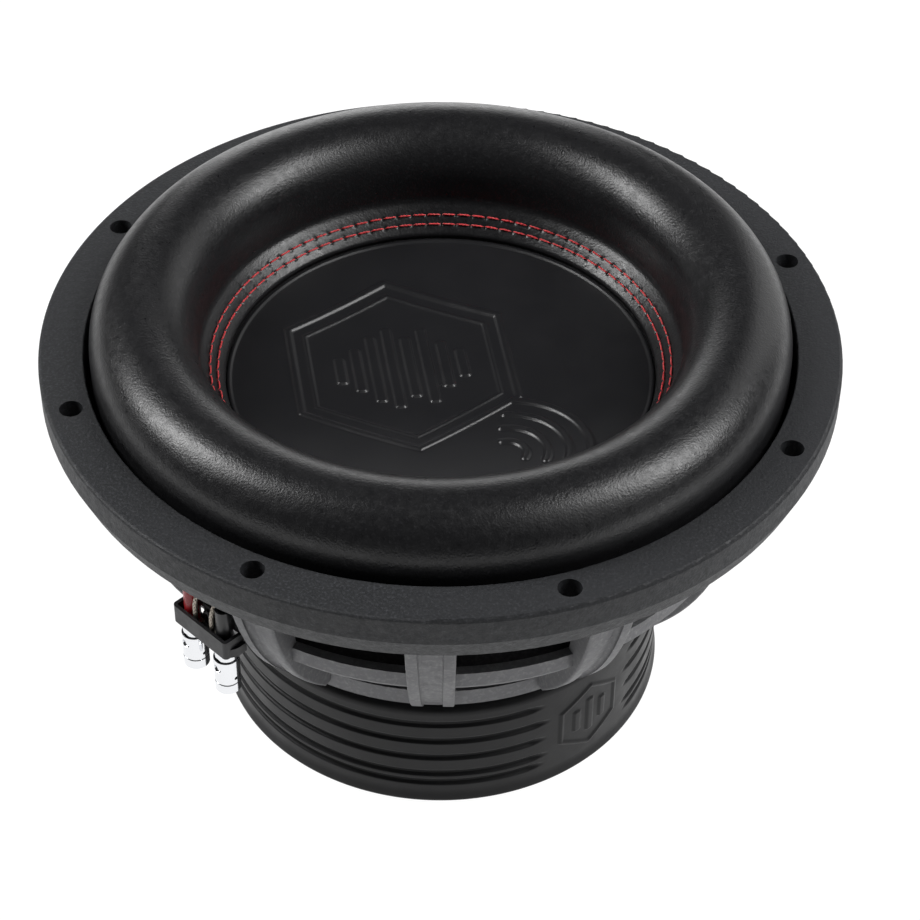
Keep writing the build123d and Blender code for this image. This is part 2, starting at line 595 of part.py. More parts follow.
def make_post():
    """Post with a stud up through the block floor and a cross hole for the wire."""
    body = Pos(POST_X, 0, 0) * drum(POST_R, POST_FOOT_Z, BLOCK_BOTTOM_Z)
    body = body + Pos(POST_X, 0, 0) * drum(STUD_R, BLOCK_BOTTOM_Z, BLOCK_BOTTOM_Z + STUD_LEN)
    bore = Pos(POST_X, 0, 0) * drum(RIVET_R, POST_FOOT_Z - 1, POST_FOOT_Z + RIVET_GRIP)
    wire = Pos(POST_X, 0, BLOCK_BOTTOM_Z - WIRE_HOLE_DROP) * Rot(0, 90, 0) * Cylinder(WIRE_HOLE_R, 4 * POST_R)
    return body - bore - wire


def make_sleeve():
    """Push sleeve: slid up against its spring, its cross hole meets the hole in the post."""
    body = drum(SLEEVE_R, SLEEVE_FOOT_Z, SLEEVE_TOP_Z)
    body = body - drum(POST_R + SLEEVE_GAP, SLEEVE_FLOOR_Z + SLEEVE_FLOOR_T, 0)
    body = body - drum(RIVET_HEAD_R + 2 * FIT_GAP, SLEEVE_FOOT_Z - 1, SLEEVE_FLOOR_Z)
    body = body - drum(RIVET_R + FIT_GAP, SLEEVE_FOOT_Z, 0)
    wire_z = BLOCK_BOTTOM_Z - WIRE_HOLE_DROP - SLEEVE_TRAVEL
    body = body - Pos(0, 0, wire_z) * Rot(0, 90, 0) * Cylinder(WIRE_HOLE_R, 4 * SLEEVE_R)
    peep_z = SLEEVE_FOOT_Z + PEEP_HOLE_RISE
    body = body - Pos(0, 0, peep_z) * Rot(90, 0, 0) * Cylinder(PEEP_HOLE_R, 4 * SLEEVE_R)
    groove_z = SLEEVE_FOOT_Z + SLEEVE_GROOVE_RISE
    body = body - ring(SLEEVE_R + 1, SLEEVE_R - SLEEVE_GROOVE_D, groove_z, groove_z + SLEEVE_GROOVE_W)
    body = chamfer(body.edges().filter_by(GeomType.CIRCLE).sort_by(Axis.Z)[-1], SLEEVE_WALL / 3)
    return Pos(POST_X, 0, 0) * body


def make_push_spring():
    """Coil spring between the post's foot and the sleeve's floor."""
    low = SLEEVE_FLOOR_Z + SLEEVE_FLOOR_T + SPRING_WIRE_R + 0.05
    high = POST_FOOT_Z - SPRING_WIRE_R - 0.05
    pitch = (high - low) / SPRING_TURNS
    path = Helix(pitch, high - low, SPRING_R)
    wire = sweep(Plane(path @ 0, z_dir=path % 0) * Circle(SPRING_WIRE_R), path)
    return Pos(POST_X, 0, low) * wire


def make_rivet():
    """Headed pin in the post's foot, which keeps the sleeve from dropping off."""
    head_top = SLEEVE_FLOOR_Z - 0.02
    shank = drum(RIVET_R, head_top, POST_FOOT_Z + RIVET_GRIP)
    return Pos(POST_X, 0, 0) * (shank + drum(RIVET_HEAD_R, head_top - RIVET_HEAD_H, head_top))


def make_cap_ring():
    """Coloured polarity tube around a stud, on its solder tag."""
    low = TRAY_FLOOR_Z + TAG_T
    return Pos(POST_X, 0, 0) * ring(CAP_RING_R, CAP_RING_BORE_R, low, low + CAP_RING_H)


def make_tag(side):
    """Solder tag on the tray floor: an eye on the stud and a tail towards the block's middle."""
    reach = LEAD_SIDE + LEAD_R + FIT_GAP
    tail = Pos(LEAD_OUT / 2, -side * reach / 2) * Rectangle(TAG_W, reach)
    flat = Circle(CAP_RING_R - FIT_GAP) + tail - Circle(STUD_R)
    return Pos(POST_X, 0, TRAY_FLOOR_Z) * extrude(flat, TAG_T)


def lead_points(side):
    """Route of a braided lead: up from its tag, over the band and in to the cone's underside."""
    foot_x, y = POST_X + LEAD_OUT, side * (POST_PITCH / 2 - LEAD_SIDE)
    return (
        (foot_x, y, TRAY_FLOOR_Z + TAG_T), (foot_x, y, BAND_TOP_Z + 5),
        (BAND_R - 8, y, BAND_TOP_Z + 15), (BAND_R - 32, y, BAND_TOP_Z + 10),
        (LEAD_END_R + 17, y, BAND_TOP_Z + 5.5), (LEAD_END_R, y, cone_under(LEAD_END_R) - LEAD_R),
    )


def make_lead(side):
    """Round braid along straight runs joined by tangent arcs."""
    points = [Vector(*point) for point in lead_points(side)]
    radii = []
    for before, here, after in zip(points, points[1:], points[2:]):
        turn = (here - before).get_angle(after - here)
        run = min((here - before).length, (after - here).length)
        radii.append(0.45 * run / tan(radians(turn) / 2))
    path = FilletPolyline(*points, radius=radii)
    return sweep(Plane(path @ 0, z_dir=path % 0) * Circle(LEAD_R), path)


def group(shapes):
    return Compound(children=list(shapes))


def build():
    sides = {"left": -1, "right": 1}
    nodes = {
        "trim_ring": make_trim_ring(),
        "surround": make_surround(),
        "cone": make_cone(),
        "dust_cap": make_dust_cap(),
        "stitching_outer_row": make_thread(STITCH_OUTER_R),
        "stitching_inner_row": make_thread(STITCH_INNER_R),
        "voice_coil_former": make_former(),
        "voice_coil_winding": make_winding(),
        "spider": make_spider(),
        "basket": make_basket(),
        "top_plate": make_top_plate(),
        "magnet_front": make_magnet(0),
        "magnet_rear": make_magnet(1),
        "yoke_and_pole": make_yoke(),
        "shorting_ring": make_shorting_ring(),
        "pole_vent_mesh": make_vent_mesh(),
        "magnet_boot": make_boot(),
        "plate_screws": group(around(PLATE_SCREW_COUNT, 0, make_plate_screw())),
        "terminal_block": make_terminal_block(),
        "terminal_block_screw": block_screw_place() * make_block_screw(),
        "terminal_posts": group(at_terminal(make_post(), side) for side in (-1, 1)),
        "terminal_rivets": group(at_terminal(make_rivet(), side) for side in (-1, 1)),
        "solder_tags": group(at_terminal(make_tag(side), side) for side in (-1, 1)),
        "polarity_ring_red": at_terminal(make_cap_ring(), -1),
        "polarity_ring_black": at_terminal(make_cap_ring(), 1),
    }
    for name, side in sides.items():
        nodes["terminal_sleeve_" + name] = at_terminal(make_sleeve(), side)
        nodes["terminal_spring_" + name] = at_terminal(make_push_spring(), side)
        nodes["tinsel_lead_" + name] = at_terminal(make_lead(side))
    return nodes


os.makedirs("parts", exist_ok=True)
for node, shape in build().items():
    export_step(shape, f"parts/{node}.step")
    print(node, round(shape.volume, 1))
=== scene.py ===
import math

import bpy
import numpy as np
from mathutils import Matrix, Vector


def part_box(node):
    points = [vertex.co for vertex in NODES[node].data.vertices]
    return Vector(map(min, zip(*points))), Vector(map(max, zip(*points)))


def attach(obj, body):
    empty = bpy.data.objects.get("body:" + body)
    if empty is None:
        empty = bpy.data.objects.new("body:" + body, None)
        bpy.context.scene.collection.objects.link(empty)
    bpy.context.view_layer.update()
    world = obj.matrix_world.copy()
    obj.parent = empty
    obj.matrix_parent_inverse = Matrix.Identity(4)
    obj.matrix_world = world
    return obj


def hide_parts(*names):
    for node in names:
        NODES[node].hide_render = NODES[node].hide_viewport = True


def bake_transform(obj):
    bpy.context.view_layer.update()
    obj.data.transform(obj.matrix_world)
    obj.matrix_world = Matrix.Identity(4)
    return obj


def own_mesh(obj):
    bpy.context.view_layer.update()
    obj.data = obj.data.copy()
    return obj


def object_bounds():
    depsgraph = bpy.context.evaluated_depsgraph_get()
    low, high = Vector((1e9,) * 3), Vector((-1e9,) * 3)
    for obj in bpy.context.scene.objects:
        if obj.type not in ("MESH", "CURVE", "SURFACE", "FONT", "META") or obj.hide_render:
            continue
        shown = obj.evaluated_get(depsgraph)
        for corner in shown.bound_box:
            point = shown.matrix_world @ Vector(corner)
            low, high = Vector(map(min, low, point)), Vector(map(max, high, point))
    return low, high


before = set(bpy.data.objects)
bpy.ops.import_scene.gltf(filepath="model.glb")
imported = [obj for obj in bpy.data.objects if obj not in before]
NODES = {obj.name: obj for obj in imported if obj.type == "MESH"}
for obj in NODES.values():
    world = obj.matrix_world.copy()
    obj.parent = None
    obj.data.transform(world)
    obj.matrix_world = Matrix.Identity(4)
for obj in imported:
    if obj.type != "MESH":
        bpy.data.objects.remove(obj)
CAD_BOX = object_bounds()

MM = 0.001
TAU = 2 * math.pi

# ---- sizes, in millimetres, in the frame's own axes -------------------------------------------
ROLL_R, ROLL_RADIUS, SURROUND_T = 118.8, 21.2, 1.6
ROLL_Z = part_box("surround")[1].z / MM - ROLL_RADIUS
LIP_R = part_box("surround")[1].x / MM
LIP_LOW_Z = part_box("basket")[1].z / MM
STRIP_INNER_R, STRIP_SLOPE = 87.1, math.radians(45.0)
STITCH_ROWS = {"stitching_outer_row": 93.1, "stitching_inner_row": 90.2}
STITCH_COUNT, STITCH_LENGTH, THREAD_R = 92, 5.5, 0.27
STITCH_INNER_Z, PLY_OFFSET = 7.2, 0.16
CAP_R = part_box("dust_cap")[1].x / MM
CAP_SEAT_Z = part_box("dust_cap")[1].z / MM
CAP_SAG, CAP_T = 8.0, 1.8
CAP_FACE_DROP = 0.35        # field of the dish below its plain face, so the relief stays inside
BOOT_TOP_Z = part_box("magnet_boot")[1].z / MM
BOOT_LOW_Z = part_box("magnet_boot")[0].z / MM
BOOT_FOOT_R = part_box("magnet_boot")[1].x / MM
PANEL_ANGLE = math.radians(-48.5)
TERMINAL_ANGLE = math.radians(-135.3)
LEAD_Y, LEAD_FOOT_X, LEAD_BAND_X, LEAD_END_R = 4.9, 130.7, 117, 51.6
LEAD_BAND_Z = -29
LEAD_BEND = ((LEAD_FOOT_X, -39), (LEAD_BAND_X, LEAD_BAND_Z), (93, -34), (68.6, -38.5), (LEAD_END_R, -31.2))
STRAND_R, STRAND_WIND_R, STRAND_COUNT = 0.40, 0.62, 8
SPIDER_T, SPIDER_WAVE_H, SPIDER_WAVES = 0.8, 2.6, 6
SPIDER_COLLAR_W, SPIDER_RIM_W = 6.0, 14.5
SPRING_WIRE_R, SPRING_TURNS, SLEEVE_TRAVEL = 0.35, 3, 3.6
HEEL_ROUND = 5.0
FRAME_BODY, CONE_BODY = "frame", "cone_assembly"


def smooth(t):
    t = np.clip(t, 0.0, 1.0)
    return t * t * (3 - 2 * t)


# ---- mesh building ----------------------------------------------------------------------------
def mesh_object(name, points, faces):
    """A smooth-shaded piece from points in millimetres."""
    mesh = bpy.data.meshes.new(name)
    mesh.from_pydata((np.asarray(points, float) * MM).tolist(), [], faces)
    mesh.update()
    mesh.validate()
    mesh.polygons.foreach_set("use_smooth", [True] * len(mesh.polygons))
    piece = bpy.data.objects.new(name, mesh)
    bpy.context.scene.collection.objects.link(piece)
    return piece


def grid_faces(rows, columns, wrap_rows=True, wrap_columns=False):
    """Quads of a grid whose points are numbered row by row."""
    faces = []
    for i in range(rows if wrap_rows else rows - 1):
        following = (i + 1) % rows
        for j in range(columns if wrap_columns else columns - 1):
            right = (j + 1) % columns
            here, there = i * columns, following * columns
            faces.append((here + j, there + j, there + right, here + right))
    return faces


def lathe(name, profile, steps, shape=None):
    """Closed (r, z) section turned about Z; shape(angle, r, z) may move each point first."""
    section = np.array(profile, float)
    angle = np.arange(steps)[:, None] * TAU / steps
    r = np.broadcast_to(section[:, 0], (steps, len(section)))
    z = np.broadcast_to(section[:, 1], (steps, len(section)))
    if shape:
        r, z = shape(np.broadcast_to(angle, r.shape), r, z)
    points = np.stack([r * np.cos(angle), r * np.sin(angle), z], -1).reshape(-1, 3)
    return mesh_object(name, points, grid_faces(steps, len(section), True, True))


def arc(centre, radius, start, end, count):
    """Points of an arc, angles in degrees, from start to end."""
    angles = np.radians(np.linspace(start, end, count))
    return [(centre[0] + radius * math.cos(a), centre[1] + radius * math.sin(a)) for a in angles]


def line(a, b, count):
    """Points from a towards b, without b."""
    return [(a[0] + (b[0] - a[0]) * k / count, a[1] + (b[1] - a[1]) * k / count) for k in range(count)]


def tube(path, radius, sides):
    """Points and faces of a round tube along path, an (n, 3) array; radius may be one per point."""
    path = np.asarray(path, float)
    radius = np.broadcast_to(radius, (len(path),))
    along = np.gradient(path, axis=0)
    along /= np.linalg.norm(along, axis=1)[:, None]
    side = np.cross(along[0], (0.0, 0.0, 1.0))
    if np.linalg.norm(side) < 0.1:
        side = np.cross(along[0], (1.0, 0.0, 0.0))
    side /= np.linalg.norm(side)
    points = []
    for k, (centre, direction) in enumerate(zip(path, along)):
        side = side - direction * (side @ direction)
        side /= np.linalg.norm(side)
        other = np.cross(direction, side)
        for i in range(sides):
            a = TAU * i / sides
            points.append(centre + radius[k] * (math.cos(a) * side + math.sin(a) * other))
    faces = grid_faces(len(path), sides, False, True)
    last = (len(path) - 1) * sides
    faces.append(tuple(range(sides)))
    faces.append(tuple(last + i for i in reversed(range(sides))))
    return np.array(points), faces


def joined(parts):
    """One set of points and faces from several."""
    points, faces, start = [], [], 0
    for p, f in parts:
        points.append(p)
        faces += [tuple(i + start for i in face) for face in f]
        start += len(p)
    return np.concatenate(points), faces


def blend_radially(piece):
    """Lays the piece's points out along X by their radius, bakes its transform into the mesh, then puts the
    points back where they were."""
    rest = [v.co.copy() for v in piece.data.vertices]
    for v in piece.data.vertices:
        v.co = (math.hypot(v.co.x, v.co.y), 0, 0)
    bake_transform(piece)
    for v, co in zip(piece.data.vertices, rest):
        v.co = co
    piece.data.update()


# ---- materials --------------------------------------------------------------------------------
class Surface:
    """A Principled material with helpers for its procedural nodes."""

    def __init__(self, name, colour, roughness, metallic=0.0, **sockets):
        self.material = bpy.data.materials.new(name)
        self.material.use_nodes = True
        self.tree = self.material.node_tree
        self.shader = self.tree.nodes["Principled BSDF"]
        self.colour = colour
        self.set(self.shader, "Base Color", (*colour, 1))
        self.set(self.shader, "Roughness", roughness)
        self.set(self.shader, "Metallic", metallic)
        for socket, value in sockets.items():
            self.set(self.shader, socket.replace("_", " "), value)
        self.place = self.add("ShaderNodeTexCoord").outputs["Object"]
        self.height = None

    def set(self, node, socket, value):
        node.inputs[socket].default_value = value

    def link(self, output, node, socket):
        self.tree.links.new(output, node.inputs[socket])

    def add(self, kind, **values):
        node = self.tree.nodes.new(kind)
        for name, value in values.items():
            if name in node.inputs:
                node.inputs[name].default_value = value
            else:
                setattr(node, name, value)
        return node

    def noise(self, size_mm, detail=3.0, rough=0.55, stretch=None):
        """Noise whose features are about size_mm across."""
        node = self.add("ShaderNodeTexNoise", Scale=1000.0 / size_mm / 2, Detail=detail, Roughness=rough)
        place = self.place
        if stretch:
            mapping = self.add("ShaderNodeMapping", Scale=stretch)
            self.link(place, mapping, "Vector")
            place = mapping.outputs["Vector"]
        self.link(place, node, "Vector")
        return node.outputs["Fac"]

    def cells(self, size_mm):
        """Distance to the centres of cells about size_mm across."""
        node = self.add("ShaderNodeTexVoronoi", feature="F1", Scale=1000.0 / size_mm)
        self.link(self.place, node, "Vector")
        return node.outputs["Distance"]

    def spread(self, value, low, high, low_in=0.3, high_in=0.7):
        """Maps value from low_in .. high_in to low .. high."""
        node = self.add("ShaderNodeMapRange")
        self.set(node, "From Min", low_in)
        self.set(node, "From Max", high_in)
        self.set(node, "To Min", low)
        self.set(node, "To Max", high)
        self.link(value, node, "Value")
        return node.outputs["Result"]

    def tint(self, value, other, low_in=0.35, high_in=0.65):
        """Base colour goes to other where value is high."""
        mix = self.add("ShaderNodeMix", data_type="RGBA")
        self.link(self.spread(value, 0, 1, low_in, high_in), mix, "Factor")
        source = self.shader.inputs["Base Color"]
        if source.is_linked:
            self.tree.links.new(source.links[0].from_socket, mix.inputs[6])
        else:
            mix.inputs[6].default_value = source.default_value
        mix.inputs[7].default_value = (*other, 1)
        self.link(mix.outputs[2], self.shader, "Base Color")
        return self

    def uneven(self, value, low, high):
        """Roughness follows value between low and high."""
        self.link(self.spread(value, low, high), self.shader, "Roughness")
        return self

    def bump(self, value, height_mm):
        """Adds a bump of this height on top of the earlier ones."""
        node = self.add("ShaderNodeBump", Strength=1.0, Distance=height_mm * MM)
        self.link(value, node, "Height")
        if self.height:
            self.link(self.height, node, "Normal")
        self.height = node.outputs["Normal"]
        self.link(self.height, self.shader, "Normal")
        return self


def trim_rubber():
    s = Surface("trim_rubber", (0.015, 0.016, 0.018), 0.62)
    speckle = s.noise(0.55, 2.0)
    s.tint(speckle, (0.044, 0.046, 0.052), 0.50, 0.72)
    s.tint(s.noise(60, 3.0), (0.021, 0.022, 0.025), 0.4, 0.75)
    s.uneven(s.noise(1.4, 3.0), 0.54, 0.70)
    return s.bump(s.noise(0.75, 3.0, 0.7), 0.20).bump(s.cells(1.1), 0.08).material


def surround_foam():
    s = Surface("surround_foam", (0.010, 0.010, 0.011), 0.34)
    s.tint(s.noise(0.6, 2.0), (0.022, 0.022, 0.024), 0.55, 0.75)
    s.uneven(s.noise(1.6, 4.0), 0.27, 0.40)
    return s.bump(s.cells(0.9), 0.045).bump(s.noise(0.7, 3.0, 0.65), 0.10).material


def cap_plastic():
    s = Surface("cap_plastic", (0.012, 0.012, 0.0135), 0.33)
    s.uneven(s.noise(9, 5.0, 0.6), 0.29, 0.38)
    return s.bump(s.noise(0.5, 2.0), 0.012).bump(s.noise(14, 2.0), 0.03).material


def boot_rubber():
    s = Surface("boot_rubber", (0.016, 0.016, 0.017), 0.38, Specular_IOR_Level=0.22)
    s.tint(s.noise(25, 4.0), (0.026, 0.026, 0.027), 0.5, 0.8)
    s.uneven(s.noise(5, 5.0, 0.6), 0.34, 0.48)
    return s.bump(s.noise(0.8, 3.0), 0.03).material


def cast_paint():
    s = Surface("cast_paint", (0.26, 0.26, 0.27), 0.50, 0.15)
    s.tint(s.noise(0.9, 3.0), (0.38, 0.38, 0.39), 0.5, 0.75)
    s.tint(s.noise(35, 4.0), (0.21, 0.21, 0.22), 0.5, 0.8)
    s.uneven(s.noise(2.0, 4.0), 0.44, 0.62)
    return s.bump(s.noise(1.0, 4.0, 0.7), 0.16).bump(s.cells(1.6), 0.05).material


def chrome():
    s = Surface("chrome", (0.83, 0.84, 0.86), 0.09, 1.0)
    s.uneven(s.noise(3, 5.0), 0.05, 0.14)
    return s.bump(s.noise(0.3, 2.0, 0.5, (1, 1, 6)), 0.002).material


def moulded(name, colour, roughness, grain_mm=0.6, height=0.02):
    s = Surface(name, colour, roughness)
    lighter = tuple(c * 1.7 + 0.003 for c in colour)
    s.tint(s.noise(8, 4.0), lighter, 0.5, 0.85)
    s.uneven(s.noise(2.5, 4.0), roughness * 0.85, min(1.0, roughness * 1.2))
    return s.bump(s.noise(grain_mm, 3.0), height).material


def metal(name, colour, roughness, brushed=None):
    s = Surface(name, colour, roughness, 1.0)
    darker = tuple(c * 0.6 for c in colour)
    s.tint(s.noise(12, 5.0), darker, 0.5, 0.85)
    s.uneven(s.noise(1.5, 4.0, 0.6, brushed), roughness * 0.75, min(1.0, roughness * 1.35))
    return s.bump(s.noise(0.4, 3.0, 0.6, brushed), 0.008).material


def thread_red():
    s = Surface("thread_red", (0.80, 0.035, 0.045), 0.5, 0.0, Sheen_Weight=0.3)
    s.tint(s.noise(0.5, 3.0), (0.95, 0.20, 0.18), 0.5, 0.8)
    s.tint(s.noise(12, 3.0), (0.62, 0.02, 0.03), 0.5, 0.8)
    return s.bump(s.noise(0.16, 2.0), 0.03).material


def cloth(name, colour, weave_mm):
    """Woven cloth: two crossed sets of threads."""
    s = Surface(name, colour, 0.85)
    s.tint(s.noise(weave_mm, 3.0), tuple(c * 2.2 for c in colour), 0.45, 0.8)
    s.tint(s.noise(20, 3.0), tuple(c * 0.5 for c in colour), 0.5, 0.8)
    for direction in ("X", "Y"):
        wave = s.add("ShaderNodeTexWave", bands_direction=direction, Distortion=0.6)
        s.set(wave, "Scale", 1000 / weave_mm / 20)
        s.link(s.place, wave, "Vector")
        s.bump(wave.outputs["Fac"], 0.10)
    return s.material


def pulp():
    s = Surface("cone_pulp", (0.016, 0.016, 0.017), 0.88)
    s.tint(s.noise(1.5, 5.0, 0.7), (0.035, 0.034, 0.033), 0.5, 0.8)
    s.uneven(s.noise(4, 4.0), 0.78, 0.95)
    return s.bump(s.noise(2.2, 5.0, 0.75), 0.25).material


# ---- surround, stitching, cap -----------------------------------------------------------------
def strip_z(r):
    """Height of the sewn strip's face at radius r."""
    return STITCH_INNER_Z + (r - STITCH_ROWS["stitching_inner_row"]) * math.tan(STRIP_SLOPE)


def needle_dimples(angle, r, z):
    """Pulls the strip down into a dimple at each needle hole, between two stitches."""
    depth, spread = 0.75, 0.62
    drop = np.zeros_like(z)
    for row_r in STITCH_ROWS.values():
        step = TAU / STITCH_COUNT
        offset = (angle / step + 0.5) % 1.0 - 0.5
        along = np.abs(offset) * step * row_r
        away = np.hypot(along, (r - row_r) / math.cos(STRIP_SLOPE))
        drop += depth * np.exp(-((away / spread) ** 2))
        drop += 0.16 * np.exp(-(((r - row_r) / 1.1) ** 2))
    on_face = (r > STRIP_INNER_R + 0.5) & (r < 97) & (np.abs(z - strip_z(r)) < 0.6)
    return r, z - np.where(on_face, drop, 0.0)


def build_surround():
    """High half roll with a sewn inner strip and a clamped outer lip."""
    left, right = ROLL_R - ROLL_RADIUS, ROLL_R + ROLL_RADIUS
    inner = ROLL_RADIUS - SURROUND_T
    lip_top = LIP_LOW_Z + SURROUND_T
    turn = math.pi / 2 - STRIP_SLOPE
    cut = HEEL_ROUND * math.tan(turn / 2)
    heel = (left, strip_z(left))
    start = (left - cut * math.cos(STRIP_SLOPE), heel[1] - cut * math.sin(STRIP_SLOPE))
    centre = (left - HEEL_ROUND, heel[1] + cut)
    slope_deg = math.degrees(STRIP_SLOPE)
    profile = line((STRIP_INNER_R + 0.35, strip_z(STRIP_INNER_R + 0.35)), start, 20)
    profile += arc(centre, HEEL_ROUND, slope_deg - 90, 0, 8)[:-1]
    profile += line((left, heel[1] + cut), (left, ROLL_Z), 5)
    profile += arc((ROLL_R, ROLL_Z), ROLL_RADIUS, 180, 0, 56)
    profile += [(right, ROLL_Z - 5), (right, lip_top + 2.2)]
    profile += [(right + 0.6, lip_top + 0.6), (right + 2.0, lip_top)]
    profile += [(LIP_R, lip_top), (LIP_R, LIP_LOW_Z), (right - SURROUND_T, LIP_LOW_Z)]
    profile += [(right - SURROUND_T, ROLL_Z - 6)]
    profile += arc((ROLL_R, ROLL_Z), inner, 0, 180, 24)
    drop = SURROUND_T / math.cos(STRIP_SLOPE)
    profile += [(left + SURROUND_T, heel[1] + 3.4), (left + SURROUND_T - 0.3, heel[1] + 0.4)]
    edge_z = strip_z(STRIP_INNER_R)
    profile += line((left - 1.4, strip_z(left - 1.4) - drop), (STRIP_INNER_R, edge_z - drop), 4)
    profile += [(STRIP_INNER_R, edge_z - drop + 0.1), (STRIP_INNER_R, edge_z - 0.35)]
    piece = lathe("surround_skin", profile, STITCH_COUNT * 10, needle_dimples)
    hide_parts("surround")
    piece.data.materials.append(surround_foam())
    blend_radially(piece)


def build_stitches(node, row_r, phase, material):
    """One row of two-ply stitches that dive into needle holes at both ends."""
    lean = 0.05
    parts = []
    for k in range(STITCH_COUNT):
        middle = (k + 0.5) * TAU / STITCH_COUNT
        t = np.linspace(-1, 1, 15)
        lift = 0.46 - 1.2 * np.abs(t) ** 8
        angle = middle + t * STITCH_LENGTH / 2 / row_r
        wobble = 0.04 * math.sin(7.3 * k + phase) + lean * t
        for ply in (0, 1):
            turn = TAU * (0.9 * t + ply / 2)
            side = PLY_OFFSET * np.cos(turn) + wobble
            up = lift + PLY_OFFSET * np.sin(turn)
            r = row_r + side * math.cos(STRIP_SLOPE) - up * math.sin(STRIP_SLOPE)
            z = strip_z(row_r) + side * math.sin(STRIP_SLOPE) + up * math.cos(STRIP_SLOPE)
            path = np.stack([r * np.cos(angle), r * np.sin(angle), z], -1)
            parts.append(tube(path, THREAD_R * (1 - 0.25 * np.abs(t) ** 4), 7))
    piece = mesh_object(node + "_thread", *joined(parts))
    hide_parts(node)
    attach(piece, CONE_BODY)
    piece.data.materials.append(material)


def box_distance(x, y, half_x, half_y, corner):
    dx, dy = np.abs(x) - half_x + corner, np.abs(y) - half_y + corner
    return np.hypot(np.maximum(dx, 0), np.maximum(dy, 0)) + np.minimum(np.maximum(dx, dy), 0) - corner


def arc_distance(x, y, radius, middle, half_angle):
    """Distance to an arc about the origin, centred on the direction middle."""
    angle = (np.arctan2(y, x) - middle + math.pi) % TAU - math.pi
    inside = np.abs(angle) <= half_angle
    ends = [middle - half_angle, middle + half_angle]
    to_ends = [np.hypot(x - radius * math.cos(a), y - radius * math.sin(a)) for a in ends]
    return np.where(inside, np.abs(np.hypot(x, y) - radius), np.minimum(*to_ends))


def polygon_distance(x, y, radius, sides, turn):
    """Signed distance, near its edges, to a regular polygon whose flats are at radius."""
    angle = np.arctan2(y, x) - turn
    sector = TAU / sides
    return np.hypot(x, y) * np.cos((angle + sector / 2) % sector - sector / 2) - radius


def ridge(distance, half_width, height, edge):
    """Height of a raised ridge with rounded shoulders."""
    return height * smooth((half_width + edge / 2 - distance) / edge)


def cap_relief(x, y):
    """Generic raised pattern: a hexagonal plate with level bars, and wave arcs beside it."""
    height, edge = 0.8, 1.3
    px, py = x + 16, y - 10
    turn = math.radians(9)
    plate = polygon_distance(px, py, 44, 6, turn)
    top = ridge(np.abs(plate), 1.3, height, edge)
    inner = polygon_distance(px, py, 37.5, 6, turn)
    top = np.maximum(top, ridge(np.abs(inner), 0.7, height * 0.7, edge))
    cx, cy = px * math.cos(turn) + py * math.sin(turn), -px * math.sin(turn) + py * math.cos(turn)
    levels = (9, 15, 23, 28, 21, 26, 16, 10)
    for k, level in enumerate(levels):
        bar = box_distance(cx - (k - 3.5) * 7.2, cy, 2.1, level / 1.15, 1.2)
        top = np.maximum(top, ridge(bar, 0, height, edge))
    wx, wy = x - 26, y + 44
    for k in range(4):
        wave = arc_distance(wx, wy, 8 + 8.5 * k, math.radians(38), math.radians(62 - 5 * k))
        top = np.maximum(top, ridge(wave, 1.5, height, edge))
    return top


def cap_face(r):
    """Height of the dished face."""
    return CAP_SEAT_Z - CAP_SAG * (1 - (r / CAP_R) ** 2)


def build_cap():
    """Dished cap with a rolled rim and a low relief."""
    steps, spacing = 840, 0.55
    rim_in = CAP_R - 2.6
    radii = np.arange(spacing, rim_in, spacing)
    angle = np.arange(steps)[:, None] * TAU / steps
    x, y = radii * np.cos(angle), radii * np.sin(angle)
    z = np.broadcast_to(cap_face(radii), x.shape) + cap_relief(x, y) - CAP_FACE_DROP
    rim = [(rim_in, cap_face(rim_in) - CAP_FACE_DROP), (CAP_R - 2.0, cap_face(CAP_R) - 0.75)]
    rim += [(CAP_R - 1.5, CAP_SEAT_Z - 0.12)]
    rim += [(CAP_R - 0.9, CAP_SEAT_Z), (CAP_R - 0.3, CAP_SEAT_Z - 0.12), (CAP_R, CAP_SEAT_Z - 0.5)]
    rim += [(CAP_R, CAP_SEAT_Z - CAP_T), (CAP_R - 3, CAP_SEAT_Z - CAP_T - 0.4)]
    rim += [(r, cap_face(r) - CAP_T) for r in (70, 55, 40, 25, 12)]
    ring_r = np.array([p[0] for p in rim])
    ring_z = np.array([p[1] for p in rim])
    x = np.concatenate([x, ring_r * np.cos(angle)], 1)
    y = np.concatenate([y, ring_r * np.sin(angle)], 1)
    z = np.concatenate([z, np.broadcast_to(ring_z, (steps, len(rim)))], 1)
    columns = x.shape[1]
    points = np.stack([x, y, z], -1).reshape(-1, 3)
    faces = grid_faces(steps, columns)
    centre_top, centre_low = len(points), len(points) + 1
    middle_z = cap_face(0) + float(cap_relief(np.zeros(1), np.zeros(1))[0]) - CAP_FACE_DROP
    points = np.concatenate([points, [(0, 0, middle_z), (0, 0, cap_face(0) - CAP_T)]])
    for i in range(steps):
        following = (i + 1) % steps
        faces.append((centre_top, following * columns, i * columns)[::-1])
        faces.append((centre_low, i * columns + columns - 1, following * columns + columns - 1)[::-1])
    piece = mesh_object("dust_cap_dish", points, faces)
    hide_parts("dust_cap")
    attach(piece, CONE_BODY)
    piece.data.materials.append(cap_plastic())


# ---- boot -------------------------------------------------------------------------------------
GROOVES = ((9.5, 13.7), (19.5, 12.0), (29.5, 13.0), (39.5, 12.5), (45.0, 13.5))   # drop, half angle
BODY_R, GROOVE_HALF, GROOVE_DEPTH = 94.4, 1.15, 1.5
GROOVE_TAPER = math.radians(5.5)


